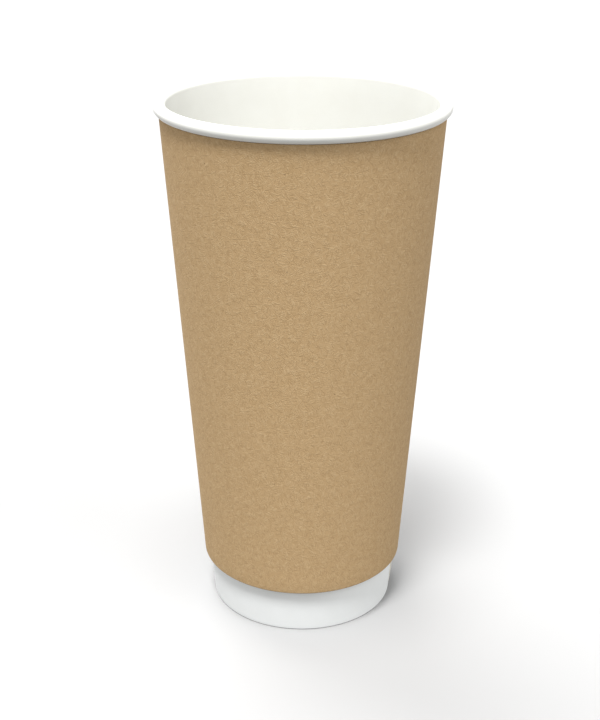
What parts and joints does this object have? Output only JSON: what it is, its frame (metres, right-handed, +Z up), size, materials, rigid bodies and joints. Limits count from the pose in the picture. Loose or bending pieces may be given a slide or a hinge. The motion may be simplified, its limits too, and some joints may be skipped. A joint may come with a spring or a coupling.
{
  "type": "double-wall paper cup",
  "caption": "Tall tapered double-wall paper cup for hot drinks: white board cup with rolled rim and folded foot, recessed base disc, and a kraft outer wrap held off by an air gap.",
  "frame": {"origin": "on the table, at the centre of the foot", "axes": "+Z up along the cup's axis; the wrap's side seam faces +Y and the inner cup's seam faces +X"},
  "size_m": [0.09, 0.09, 0.169],
  "materials": {
    "white_board": "satin",
    "base_board": "satin",
    "kraft_board": "matte"
  },
  "bodies": {
    "root": {"inner_cup": "white_board", "base_disc": "base_board", "kraft_wrap": "kraft_board"}
  },
  "joints": []
}
